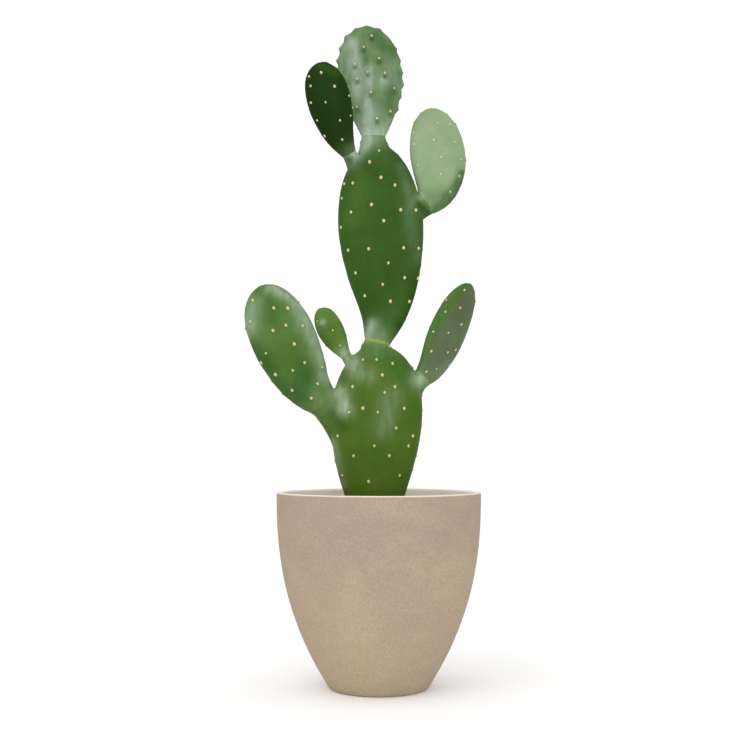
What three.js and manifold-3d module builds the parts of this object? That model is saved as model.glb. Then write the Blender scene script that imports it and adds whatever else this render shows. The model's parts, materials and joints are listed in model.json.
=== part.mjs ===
// A paddle cactus (a spineless prickly pear) growing in a round tapered planter.
//
// Units are millimetres and +Z is up. The origin is the centre of the planter's
// flat underside, on the surface that it stands on. The viewer's side is -Y.
//
// The plant is a chain of pads. The trunk pad stands in the soil, and every
// other pad grows from the edge of an older one through a narrow neck. A pad's
// parent ends in a short collar that swells up to meet that neck, and the two
// meet face to face with a hairline between them, the line where a pad snaps off.

import * as THREE from 'three';
import { mergeVertices } from 'three/addons/utils/BufferGeometryUtils.js';
import Module from 'manifold-3d';

const wasm = await Module();
wasm.setup();

// Driving dimensions -------------------------------------------------------

const GAP = 0.3; // hairline kept between pieces that touch

const PLANTER = {
  height: 284,
  rimRadius: 150.5, // outside of the mouth
  inwardAtFloor: 78, // how far the outside has drawn in at floor level
  taperPower: 2.4, // how late the near-vertical wall turns inward
  heelRadius: 8, // rounding between the wall and the underside
  wall: 9,
  floor: 12,
  lipRadius: 2.6,
  drainHoles: 4,
  drainHoleRadius: 6,
  drainCircleRadius: 38, // the holes stand clear of the centre
  segments: 48,
};

const SOIL = {
  belowRim: 26, // at the wall
  crown: 4, // the surface rises this much towards the trunk
  crownRadius: 70,
};

// Every pad: `spine` runs from its neck to its tip, with heights above the
// planter's rim; `face` is the way that its flat side looks; `neck` and `half`
// are its half width and half thickness at the neck and where it is broadest;
// `widest` is the share of its length at which that is; `flare` shapes the run
// up to there (higher is more hollow) and `shoulder` the rounding past it
// (higher is blunter). `seat` is where the collar that carries it starts.
const PADS = [
  {
    name: 'trunk_pad',
    spine: [[-6, 2, -62], [-5.5, 1, 40], [-1.5, 0, 130], [0.5, 0, 218]],
    face: [0.1, -1, 0],
    neck: [25.5, 22],
    half: [68, 29],
    widest: 0.62,
    flare: 1.1,
    shoulder: 2.25,
  },
  {
    name: 'middle_pad',
    parent: 'trunk_pad',
    seat: { at: [-2, 0, 184], half: [42, 22] },
    spine: [[-2, 0, 222], [9, 1, 268], [6, 3, 350], [-0.5, 5, 437], [-6, 6, 523]],
    face: [-0.2, -1, 0],
    neck: [19.5, 13],
    half: [65.5, 19],
    widest: 0.59,
    flare: 1.02,
    shoulder: 1.9,
  },
  {
    name: 'top_pad',
    parent: 'middle_pad',
    seat: { at: [-4, 5, 496], half: [34, 14] },
    spine: [[-8, 6, 534], [-9, 8, 576], [-12, 11, 623], [-20, 13, 707]],
    face: [0.1, -1, 0.1],
    neck: [18.5, 9],
    half: [50, 11],
    widest: 0.56,
    flare: 1.05,
    shoulder: 2.2,
  },
  {
    name: 'upper_left_pad',
    parent: 'middle_pad',
    seat: { at: [-27, 3, 474], half: [17, 9] },
    spine: [[-44, -8, 504], [-57, -16, 526], [-70, -32, 565], [-87, -58, 627]],
    face: [0.15, -1, -0.45],
    neck: [11, 8],
    half: [32.5, 11],
    widest: 0.62,
    flare: 1.0,
    shoulder: 2.2,
  },
  {
    name: 'upper_right_pad',
    parent: 'middle_pad',
    seat: { at: [34, 3, 422], half: [30, 15] },
    spine: [[67, 2, 428.5], [81, 5, 438], [89.5, 14, 469], [90.5, 32, 520], [86, 55, 592]],
    face: [0.25, -1, 0.35],
    neck: [18.5, 10],
    half: [45, 12],
    widest: 0.52,
    flare: 1.1,
    shoulder: 2.2,
  },
  {
    name: 'lower_left_pad',
    parent: 'trunk_pad',
    seat: { at: [-28, 0, 46], half: [35, 24] },
    spine: [[-80, -4, 129], [-104, -12, 154], [-128, -24, 200], [-151, -38, 250], [-170.5, -50, 300]],
    face: [0.1, -1, -0.15],
    neck: [23, 15],
    half: [48, 17],
    widest: 0.58,
    flare: 0.98,
    shoulder: 2.2,
  },
  {
    name: 'bud_pad',
    parent: 'trunk_pad',
    seat: { at: [-32, 3, 180], half: [13, 9] },
    spine: [[-49, 8, 202], [-62, 12, 222], [-75, 16, 247], [-89, 20, 275]],
    face: [0, -1, 0],
    neck: [8.5, 6],
    half: [20, 9],
    widest: 0.58,
    flare: 1.1,
    shoulder: 2.2,
  },
  {
    name: 'lower_right_pad',
    parent: 'trunk_pad',
    seat: { at: [34, 0, 142], half: [30, 20] },
    spine: [[61, 2, 164], [75, 3, 179], [91.5, 5, 210.5], [113.5, 8, 260], [139.5, 12, 310.5]],
    face: [0.73, -0.68, -0.3],
    neck: [15, 11],
    half: [40, 12],
    widest: 0.5,
    flare: 0.9,
    shoulder: 2.1,
  },
];

const PAD_RINGS = 15; // rings of points from a pad's neck to its tip
const PAD_SIDES = 26; // points round each ring
const COLLAR_RINGS = 4;
const COLLAR_SIDES = 18;
const SECTION_POWER = 2.15; // 2 is an ellipse, and higher squares its shoulders

const ROOTS = {
  stumpHalf: [22, 20], // just under the trunk pad
  stumpEndRadius: 4,
  stumpLength: 100,
  sideRoots: 5, // fanned round the stump
  sideStart: 22, // below the stump's top
  sideDrop: 70,
  reach: 70,
  startRadius: 7,
  endRadius: 2,
  sides: 8, // points round each side root
};

// Solids -------------------------------------------------------------------

function toSolid(geometry) {
  const bare = geometry.clone();
  bare.deleteAttribute('normal');
  bare.deleteAttribute('uv');
  const merged = mergeVertices(bare, 1e-4);
  return new wasm.Manifold(new wasm.Mesh({
    numProp: 3,
    vertProperties: new Float32Array(merged.attributes.position.array),
    triVerts: new Uint32Array(merged.index.array),
  }));
}

function toGeometry(solid) {
  const mesh = solid.getMesh();
  const geometry = new THREE.BufferGeometry();
  geometry.setAttribute('position', new THREE.BufferAttribute(mesh.vertProperties, 3));
  geometry.setIndex(new THREE.BufferAttribute(mesh.triVerts, 1));
  geometry.computeVertexNormals();
  return geometry;
}

// A point whose height is given above the planter's rim.
function aboveRim([x, y, z]) {
  return new THREE.Vector3(x, y, PLANTER.height + z);
}

// A lathe turns about Y, so its result is stood up on Z.
function turned(profile) {
  const geometry = new THREE.LatheGeometry(profile, PLANTER.segments);
  geometry.rotateX(Math.PI / 2);
  return toSolid(geometry);
}

// Moves a point of the unit circle out to the rounded oval's unit outline.
function ovalPoint(x, z) {
  const reach = Math.hypot(x, z);
  if (reach < 0.5) {
    return [0, 0];
  }
  const shaped = (value) => Math.sign(value) * Math.abs(value) ** (2 / SECTION_POWER);
  return [shaped(x / reach), shaped(z / reach)];
}

// A cylinder laid along a curve, with a rounded oval for its section. The oval's
// flat side looks the way of `face`, or turns from `face` to `endFace` on the way.
// `halfAt(t)` gives its half width and half thickness, and `spread` places the
// rings along the curve.
function loft({ curve, face, endFace = face, halfAt, rings, sides, spread = (share) => share }) {
  const geometry = new THREE.CylinderGeometry(1, 1, 1, sides, rings);
  const position = geometry.attributes.position;
  const startSide = new THREE.Vector3(...face).normalize();
  const endSide = new THREE.Vector3(...endFace).normalize();
  for (let i = 0; i < position.count; i += 1) {
    const t = spread(position.getY(i) + 0.5);
    const flatSide = startSide.clone().lerp(endSide, t);
    const along = curve.getTangentAt(t);
    const across = new THREE.Vector3().crossVectors(flatSide, along).normalize();
    const outward = new THREE.Vector3().crossVectors(across, along);
    const [halfWidth, halfThickness] = halfAt(t);
    const [u, v] = ovalPoint(position.getX(i), position.getZ(i));
    const place = curve.getPointAt(t);
    place.addScaledVector(across, u * halfWidth);
    place.addScaledVector(outward, v * halfThickness);
    position.setXYZ(i, place.x, place.y, place.z);
  }
  return toSolid(geometry);
}

// Pads ---------------------------------------------------------------------

function spineOf(pad) {
  return new THREE.CatmullRomCurve3(pad.spine.map(aboveRim));
}

// Rings crowd towards the tip, and the last one stops just short of it.
function towardsTip(share) {
  return Math.sin(share * 0.985 * Math.PI / 2);
}

function padHalf(pad, t) {
  const rise = Math.sin(Math.min(t / pad.widest, 1) * Math.PI / 2) ** pad.flare;
  const past = Math.max(t - pad.widest, 0) / (1 - pad.widest);
  const width = THREE.MathUtils.lerp(pad.neck[0], pad.half[0], rise);
  const thickness = THREE.MathUtils.lerp(pad.neck[1], pad.half[1], rise);
  const thinning = (1 - 0.3 * past) * Math.sqrt(1 - past ** 4);
  return [width * Math.sqrt(1 - past ** pad.shoulder), thickness * thinning];
}

// `grow` fattens a pad all round, for hollowing out what it stands in.
function padSolid(pad, grow = 0) {
  return loft({
    curve: spineOf(pad),
    face: pad.face,
    halfAt: (t) => padHalf(pad, t).map((half) => half + grow),
    rings: PAD_RINGS,
    sides: PAD_SIDES,
    spread: towardsTip,
  });
}

// The collar starts inside the parent at the seat, flat side with flat side. It
// narrows in a hollow curve, turns to the pad's own face, and ends one hairline
// short of the pad's neck, square to the pad's spine.
function collarSolid(pad) {
  const spine = spineOf(pad);
  const neck = spine.getPointAt(0);
  const along = spine.getTangentAt(0);
  const seat = aboveRim(pad.seat.at);
  const end = neck.clone().addScaledVector(along, -GAP);
  const bend = neck.clone().addScaledVector(along, -0.6 * seat.distanceTo(neck));
  const halfAt = (t) => {
    const swell = (1 - t) ** 1.6;
    return [0, 1].map((k) => THREE.MathUtils.lerp(pad.neck[k], pad.seat.half[k], swell));
  };
  return loft({
    curve: new THREE.QuadraticBezierCurve3(seat, bend, end),
    face: PADS.find((parent) => parent.name === pad.parent).face,
    endFace: pad.face,
    halfAt,
    rings: COLLAR_RINGS,
    sides: COLLAR_SIDES,
  });
}

// A pad with the collars of all that grows on it, clear of those pads' necks.
function padWithCollars(pad) {
  const children = PADS.filter((child) => child.parent === pad.name);
  const bare = children.reduce((solid, child) => solid.subtract(padSolid(child, GAP)), padSolid(pad));
  return children.reduce((solid, child) => solid.add(collarSolid(child)), bare);
}

// Planter ------------------------------------------------------------------

function planterRadius(z) {
  const p = PLANTER;
  return p.rimRadius - p.inwardAtFloor * (1 - z / p.height) ** p.taperPower;
}

function arcPoints(cx, cz, radius, from, to, steps) {
  return Array.from({ length: steps + 1 }, (_, i) => {
    const angle = THREE.MathUtils.degToRad(THREE.MathUtils.lerp(from, to, i / steps));
    return new THREE.Vector2(cx + radius * Math.cos(angle), cz + radius * Math.sin(angle));
  });
}

function wallPoints(fromZ, toZ, steps, inset) {
  return Array.from({ length: steps + 1 }, (_, i) => {
    const z = THREE.MathUtils.lerp(fromZ, toZ, i / steps);
    return new THREE.Vector2(planterRadius(z) - inset, z);
  });
}

// The inside from the wall down to the middle of the floor, `inset` from the
// outside, with the corner between wall and floor filled at a slant.
function insideCorner(inset, floor) {
  const slant = 9;
  return [
    new THREE.Vector2(planterRadius(floor) - inset - slant / 2, floor),
    new THREE.Vector2(0, floor),
  ];
}

function planterSolid() {
  const p = PLANTER;
  const lean = Math.atan(p.inwardAtFloor * p.taperPower / p.height); // of the wall near the floor
  const heelTop = p.heelRadius * (1 - Math.sin(lean));
  const heelCentre = planterRadius(heelTop) - p.heelRadius * Math.cos(lean);
  const lipBase = p.height - p.lipRadius;
  const lipStart = lipBase - 8;
  const profile = [
    new THREE.Vector2(0, 0),
    ...arcPoints(heelCentre, p.heelRadius, p.heelRadius, -90, -THREE.MathUtils.radToDeg(lean) - 12, 3),
    ...wallPoints(heelTop, lipStart, 10, 0),
    ...arcPoints(p.rimRadius - p.lipRadius, lipBase, p.lipRadius, 0, 90, 3),
    ...arcPoints(p.rimRadius - p.wall + p.lipRadius, lipBase, p.lipRadius, 90, 180, 3),
    ...wallPoints(lipStart, p.floor + 8, 7, p.wall),
    ...insideCorner(p.wall, p.floor),
  ];
  return drainHoleCutters().reduce((pot, hole) => pot.subtract(hole), turned(profile));
}

function drainHoleCutters() {
  const p = PLANTER;
  return Array.from({ length: p.drainHoles }, (_, i) => {
    const angle = (i + 0.5) * 2 * Math.PI / p.drainHoles;
    const hole = new THREE.CylinderGeometry(p.drainHoleRadius, p.drainHoleRadius, 3 * p.floor, 16);
    hole.rotateX(Math.PI / 2);
    hole.translate(p.drainCircleRadius * Math.cos(angle), p.drainCircleRadius * Math.sin(angle), 0);
    return toSolid(hole);
  });
}

// Roots and soil -----------------------------------------------------------

const TRUNK = PADS[0];
const TRUNK_FOOT = aboveRim(TRUNK.spine[0]);

// `grow` widens a root on every side, so that the soil can be hollowed for it.
function stumpSolid(grow) {
  const up = spineOf(TRUNK).getTangentAt(0);
  const top = TRUNK_FOOT.clone().addScaledVector(up, 2 * grow - GAP);
  const bottom = TRUNK_FOOT.clone().addScaledVector(up, -ROOTS.stumpLength - grow);
  const halfAt = (t) => ROOTS.stumpHalf.map((half) => (
    THREE.MathUtils.lerp(half, ROOTS.stumpEndRadius, t ** 0.6) + grow
  ));
  return loft({ curve: new THREE.LineCurve3(top, bottom), face: [0, -1, 0], halfAt, rings: 5, sides: 12 });
}

function sideRootSolid(index, grow) {
  const angle = (index + 0.3) * 2 * Math.PI / ROOTS.sideRoots;
  const out = new THREE.Vector3(Math.cos(angle), Math.sin(angle), 0);
  const point = (reach, below) => TRUNK_FOOT.clone().addScaledVector(out, reach).setZ(TRUNK_FOOT.z - below);
  const curve = new THREE.QuadraticBezierCurve3(
    point(4, ROOTS.sideStart),
    point(ROOTS.reach * 0.7, ROOTS.sideStart + 4),
    point(ROOTS.reach, ROOTS.sideStart + ROOTS.sideDrop + 8 * (index % 2)),
  );
  const halfAt = (t) => {
    const radius = THREE.MathUtils.lerp(ROOTS.startRadius, ROOTS.endRadius, t) + grow;
    return [radius, radius];
  };
  return loft({ curve, face: [-out.y, out.x, 0], halfAt, rings: 5, sides: ROOTS.sides });
}

function rootsSolid(grow) {
  const sides = Array.from({ length: ROOTS.sideRoots }, (_, i) => sideRootSolid(i, grow));
  return sides.reduce((solid, side) => solid.add(side), stumpSolid(grow));
}

function soilSolid() {
  const inset = PLANTER.wall + GAP;
  const top = PLANTER.height - SOIL.belowRim;
  const profile = [
    new THREE.Vector2(0, top + SOIL.crown),
    new THREE.Vector2(SOIL.crownRadius, top + SOIL.crown),
    ...wallPoints(top, PLANTER.floor + 8, 7, inset),
    ...insideCorner(inset + GAP, PLANTER.floor + GAP),
  ].reverse();
  return turned(profile).subtract(padSolid(TRUNK, GAP)).subtract(rootsSolid(GAP));
}

// The whole object ---------------------------------------------------------

const SKIN = {
  trunk_pad: 0x4a6a22,
  middle_pad: 0x3f6a20,
  top_pad: 0x6f8d62,
  upper_left_pad: 0x27450f,
  upper_right_pad: 0x86a376,
  lower_left_pad: 0x4c7038,
  bud_pad: 0x456a2a,
  lower_right_pad: 0x5c7a4c,
};

const object = new THREE.Group();

function addPiece(name, solid, color, roughness) {
  const material = new THREE.MeshStandardMaterial({ color, roughness, metalness: 0 });
  const mesh = new THREE.Mesh(toGeometry(solid), material);
  mesh.name = name;
  object.add(mesh);
}

addPiece('planter', planterSolid(), 0xbeac92, 0.85);
addPiece('potting_soil', soilSolid(), 0x33261b, 1);
addPiece('roots', rootsSolid(0), 0xa58a63, 0.9);
PADS.forEach((pad) => addPiece(pad.name, padWithCollars(pad), SKIN[pad.name], 0.5));

export default object;
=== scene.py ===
"""A potted paddle cactus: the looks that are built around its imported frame.

Units are metres and +Z is up. The viewer's side is -Y. The plant is one skin, modelled
over the frame's pads and then cut where the pads join, so that every pad is a piece of
its own. Areoles grow on the pads, and the trunk stands in potting mix in a cast planter.
"""

import json
import logging
import math
import random
from collections.abc import Iterable, Iterator
from contextlib import contextmanager
from dataclasses import dataclass, field, replace
from enum import Enum
from typing import ClassVar

import bpy
import numpy as np
from bpy.types import Material, NodeSocket, Object
from mathutils import Matrix, Vector

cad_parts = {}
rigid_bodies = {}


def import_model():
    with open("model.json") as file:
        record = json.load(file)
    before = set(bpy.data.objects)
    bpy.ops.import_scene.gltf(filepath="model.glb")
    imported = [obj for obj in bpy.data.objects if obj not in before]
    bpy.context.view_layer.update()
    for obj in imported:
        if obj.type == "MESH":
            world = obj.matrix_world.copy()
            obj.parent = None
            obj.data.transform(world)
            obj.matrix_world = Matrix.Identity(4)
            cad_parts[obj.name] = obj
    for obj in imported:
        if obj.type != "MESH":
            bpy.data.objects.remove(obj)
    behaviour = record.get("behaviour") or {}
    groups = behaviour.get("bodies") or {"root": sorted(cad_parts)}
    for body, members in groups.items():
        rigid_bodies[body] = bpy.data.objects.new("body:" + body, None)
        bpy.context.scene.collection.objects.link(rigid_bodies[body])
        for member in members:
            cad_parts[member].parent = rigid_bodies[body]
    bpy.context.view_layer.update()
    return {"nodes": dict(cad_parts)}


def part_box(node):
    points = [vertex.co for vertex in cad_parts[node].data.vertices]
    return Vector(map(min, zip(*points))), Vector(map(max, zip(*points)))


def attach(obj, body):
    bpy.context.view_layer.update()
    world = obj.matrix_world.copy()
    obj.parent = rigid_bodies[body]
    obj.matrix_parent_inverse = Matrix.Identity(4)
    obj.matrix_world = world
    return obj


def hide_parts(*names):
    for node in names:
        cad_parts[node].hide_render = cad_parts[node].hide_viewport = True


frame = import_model()

LOG = logging.getLogger("potted_cactus")
MM = 0.001
Colour = tuple[float, float, float]


# Modelling helpers


def select_only(*pieces: Object) -> None:
    """Leaves object mode ready with just these pieces selected, the first one active.

    Args:
        pieces: what the next operator acts on.
    """
    if bpy.context.object and bpy.context.object.mode != "OBJECT":
        bpy.ops.object.mode_set(mode="OBJECT")
    bpy.ops.object.select_all(action="DESELECT")
    for piece in pieces:
        piece.select_set(True)
    bpy.context.view_layer.objects.active = pieces[0]


@contextmanager
def editing(piece: Object, elements: str = "VERT", choose: str = "SELECT") -> Iterator[None]:
    """Opens a piece in edit mode and closes it again.

    Args:
        piece: the mesh object to edit.
        elements: VERT, EDGE or FACE, the kind of thing that is selected.
        choose: SELECT or DESELECT for everything, or KEEP for what is marked already.
    """
    select_only(piece)
    bpy.ops.object.mode_set(mode="EDIT")
    bpy.ops.mesh.select_mode(type=elements)
    if choose != "KEEP":
        bpy.ops.mesh.select_all(action=choose)
    yield
    bpy.ops.object.mode_set(mode="OBJECT")


def mark_faces(piece: Object, chosen: np.ndarray) -> None:
    """Marks faces as selected, for an edit that keeps the choice.

    Args:
        piece: the mesh object.
        chosen: one truth value for each face.
    """
    with editing(piece, "FACE", "DESELECT"):
        pass
    piece.data.polygons.foreach_set("select", chosen.astype(bool))
    piece.data.update()


def shape_with(piece: Object, kind: str, **settings: object) -> None:
    """Adds a modifier to a piece and applies it.

    Args:
        piece: the mesh object.
        kind: the modifier's type.
        settings: the modifier's own settings by name.
    """
    modifier = piece.modifiers.new(kind.title(), kind)
    for name, value in settings.items():
        setattr(modifier, name, value)
    select_only(piece)
    bpy.ops.object.modifier_apply(modifier=modifier.name)


def copy_of(node: str, name: str) -> Object:
    """Makes a merged copy of a CAD node, with a mesh of its own.

    Args:
        node: the CAD node's name.
        name: the new piece's name.

    Returns:
        The new mesh object.
    """
    piece = bpy.data.objects.new(name, frame["nodes"][node].data.copy())
    piece.data.name = name
    piece.data.materials.clear()
    bpy.context.scene.collection.objects.link(piece)
    with editing(piece):
        bpy.ops.mesh.remove_doubles(threshold=0.01 * MM)
    return piece


def named(piece: Object, name: str) -> Object:
    """Gives a piece and its mesh one name, and returns the piece."""
    piece.name = name
    piece.data.name = name
    return piece


def joined(pieces: list[Object], name: str) -> Object:
    """Joins pieces into one object at the origin.

    Args:
        pieces: the mesh objects, the first of which takes in the rest.
        name: the result's name.

    Returns:
        The joined object.
    """
    select_only(*pieces)
    if len(pieces) > 1:
        bpy.ops.object.join()
    return named(pieces[0], name)


def smooth_by_angle(piece: Object, degrees: float) -> None:
    """Shades a piece smooth, apart from edges that turn by more than the angle."""
    select_only(piece)
    bpy.ops.object.shade_smooth_by_angle(angle=math.radians(degrees))


def placed_copy(pattern: Object, name: str, place: Matrix) -> Object:
    """Copies a piece, with a mesh of its own that is moved to its place.

    Args:
        pattern: the mesh object to copy.
        name: the copy's name.
        place: where it goes, how it is turned and how large it is.

    Returns:
        The copy.
    """
    copy = bpy.data.objects.new(name, pattern.data.copy())
    copy.data.transform(place)
    bpy.context.scene.collection.objects.link(copy)
    return copy


def rows_of(items: bpy.types.bpy_prop_collection, what: str) -> np.ndarray:
    """Reads three numbers of each vertex or face of a mesh.

    Args:
        items: the mesh's vertices or faces.
        what: the numbers' name, such as co or normal.

    Returns:
        One row for each vertex or face.
    """
    flat = np.empty(len(items) * 3)
    items.foreach_get(what, flat)
    return flat.reshape(-1, 3)


def points_of(piece: Object) -> np.ndarray:
    """Returns a mesh's vertex places, one row each."""
    return rows_of(piece.data.vertices, "co")


def normals_of(piece: Object) -> np.ndarray:
    """Returns a mesh's vertex normals, one row each."""
    return rows_of(piece.data.vertices, "normal")


def gaps_to(points: np.ndarray, place: Iterable[float]) -> np.ndarray:
    """Returns how far each point is from a place."""
    return np.linalg.norm(points - np.array(tuple(place)), axis=1)


def move_points(piece: Object, places: np.ndarray) -> None:
    """Puts a mesh's vertices at new places."""
    piece.data.vertices.foreach_set("co", places.ravel())
    piece.data.update()


def paint_points(piece: Object, name: str, values: np.ndarray) -> None:
    """Stores one number for each vertex as a named attribute, for a material to read."""
    attribute = piece.data.attributes.new(name, "FLOAT", "POINT")
    attribute.data.foreach_set("value", np.clip(values, 0, 1).astype(np.float32))


def soft_round(points: np.ndarray, centre: Iterable[float], radius: float) -> np.ndarray:
    """Weighs each point from 1 at a patch's centre to about a third at its radius, and on to 0."""
    gaps = points - np.array(tuple(centre))
    return np.exp(-np.einsum("ij,ij->i", gaps, gaps) / radius**2)


def swell(
    piece: Object, name: str, size: float, strength: float, depth: int = 1, **settings: object
) -> None:
    """Pushes a surface in and out by a cloud texture.

    Args:
        piece: the mesh object.
        name: the texture's name.
        size: the size of its largest lumps, in metres.
        strength: how far the surface moves between them, in metres.
        depth: how many finer layers the texture has.
        settings: more of the modifier's settings by name.
    """
    texture = bpy.data.textures.new(name, "CLOUDS")
    texture.noise_scale = size
    texture.noise_depth = depth
    shape_with(piece, "DISPLACE", texture=texture, texture_coords="LOCAL", strength=strength, **settings)


def finish_piece(piece: Object, material: Material, replaces: str = "") -> None:
    """Dresses a finished piece and ties it to the frame.

    Args:
        piece: the mesh object.
        material: its only material.
        replaces: the CAD node that it stands for, where there is one.
    """
    piece.data.materials.clear()
    piece.data.materials.append(material)
    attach(piece, "root")
    if replaces:
        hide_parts(replaces)
    LOG.info("%s: %d faces", piece.name, len(piece.data.polygons))


# Finishes


def tone(red: int, green: int, blue: int) -> Colour:
    """Turns a colour as it is seen, from 0 to 255, into the light that it throws back."""
    shares = (value / 255 for value in (red, green, blue))
    return tuple(s / 12.92 if s <= 0.04045 else ((s + 0.055) / 1.055) ** 2.4 for s in shares)


class Graph:
    """The nodes of one material, laid out from its shader backwards."""

    def __init__(self, name: str) -> None:
        """Starts a material with a Principled shader and nothing else."""
        self.material = bpy.data.materials.new(name)
        self.material.use_nodes = True
        self.tree = self.material.node_tree
        self.tree.nodes.clear()
        self.shader = self.add("ShaderNodeBsdfPrincipled")
        output = self.add("ShaderNodeOutputMaterial")
        self.tree.links.new(self.shader.outputs["BSDF"], output.inputs["Surface"])
        self.place = self.add("ShaderNodeTexCoord").outputs["Object"]

    def add(self, kind: str, **settings: object) -> bpy.types.Node:
        """Adds a node.

        Args:
            kind: the node's type.
            settings: the node's own settings by name.

        Returns:
            The node.
        """
        node = self.tree.nodes.new(kind)
        for name, value in settings.items():
            setattr(node, name, value)
        return node

    def feed(self, socket: NodeSocket, source: object) -> None:
        """Links a socket to a source socket, or sets it to a number or colour."""
        if isinstance(source, NodeSocket):
            self.tree.links.new(source, socket)
        elif isinstance(source, tuple) and len(source) == 3 and socket.type == "RGBA":
            socket.default_value = (*source, 1)
        else:
            socket.default_value = source

    def noise(self, size: float, detail: float = 3, stretch: Colour = (1, 1, 1)) -> NodeSocket:
        """Adds a noise pattern.

        Args:
            size: the size of its largest features, in metres.
            detail: how many finer layers it has.
            stretch: how much longer than wide its features are along each axis.

        Returns:
            The pattern's strength, about 0.5 on average.
        """
        mapping = self.add("ShaderNodeMapping")
        self.feed(mapping.inputs["Vector"], self.place)
        mapping.inputs["Scale"].default_value = [1 / (size * share) for share in stretch]
        node = self.add("ShaderNodeTexNoise")
        self.feed(node.inputs["Vector"], mapping.outputs["Vector"])
        node.inputs["Scale"].default_value = 1
        node.inputs["Detail"].default_value = detail
        return node.outputs["Fac"]

    def cells(self, size: float) -> NodeSocket:
        """Adds a pattern of cells.

        Args:
            size: the size of a cell, in metres.

        Returns:
            The distance from each cell's middle, in cells.
        """
        node = self.add("ShaderNodeTexVoronoi")
        self.feed(node.inputs["Vector"], self.place)
        node.inputs["Scale"].default_value = 1 / size
        return node.outputs["Distance"]

    def attribute(self, name: str) -> NodeSocket:
        """Reads a number that the mesh stores at each vertex."""
        return self.add("ShaderNodeAttribute", attribute_name=name).outputs["Fac"]

    def height(self) -> NodeSocket:
        """Reads how high each point lies, in metres."""
        node = self.add("ShaderNodeSeparateXYZ")
        self.feed(node.inputs["Vector"], self.place)
        return node.outputs["Z"]

    def ramp(
        self, source: NodeSocket, low: float, high: float, start: float = 0, end: float = 1
    ) -> NodeSocket:
        """Stretches a number from one range to another, and holds it there.

        Args:
            source: the number.
            low: where the result is `start`.
            high: where the result is `end`.
            start: the result at `low`.
            end: the result at `high`.

        Returns:
            The stretched number.
        """
        node = self.add("ShaderNodeMapRange")
        names = ("Value", "From Min", "From Max", "To Min", "To Max")
        for name, value in zip(names, (source, low, high, start, end)):
            self.feed(node.inputs[name], value)
        return node.outputs["Result"]

    def sum(self, kind: str, first: object, second: object) -> NodeSocket:
        """Works one number out from two, and holds it from 0 to 1.

        Args:
            kind: ADD, MULTIPLY, SUBTRACT and the like.
            first: a number or socket.
            second: a number or socket.

        Returns:
            The result.
        """
        node = self.add("ShaderNodeMath", operation=kind, use_clamp=True)
        self.feed(node.inputs[0], first)
        self.feed(node.inputs[1], second)
        return node.outputs["Value"]

    def times(self, source: NodeSocket, factor: float) -> NodeSocket:
        """Multiplies a number by a factor, held from 0 to 1."""
        return self.sum("MULTIPLY", source, factor)

    def mix(self, share: object, first: object, second: object) -> NodeSocket:
        """Mixes two colours.

        Args:
            share: how much of the second colour there is, from 0 to 1.
            first: a colour.
            second: the colour laid over it.

        Returns:
            The mixed colour.
        """
        node = self.add("ShaderNodeMix", data_type="RGBA")
        colours = [socket for socket in node.inputs if socket.type == "RGBA"]
        self.feed(node.inputs["Factor"], share)
        self.feed(colours[0], first)
        self.feed(colours[1], second)
        return next(socket for socket in node.outputs if socket.type == "RGBA")

    def bump(self, height: NodeSocket, depth: float, strength: float = 1) -> None:
        """Roughens the surface by a pattern.

        Args:
            height: the pattern.
            depth: how deep its hollows are, in metres.
            strength: how much of that shows.
        """
        node = self.add("ShaderNodeBump")
        node.inputs["Strength"].default_value = strength
        node.inputs["Distance"].default_value = depth
        self.feed(node.inputs["Height"], height)
        self.feed(self.shader.inputs["Normal"], node.outputs["Normal"])

    def coat(self, colour: NodeSocket, roughness: object, specular: float = 0.5) -> None:
        """Gives the shader its colour and sheen.

        Args:
            colour: the surface's colour.
            roughness: a number or socket.
            specular: how strongly the surface mirrors light.
        """
        self.feed(self.shader.inputs["Base Color"], colour)
        self.feed(self.shader.inputs["Roughness"], roughness)
        self.feed(self.shader.inputs["Specular IOR Level"], specular)


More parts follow.
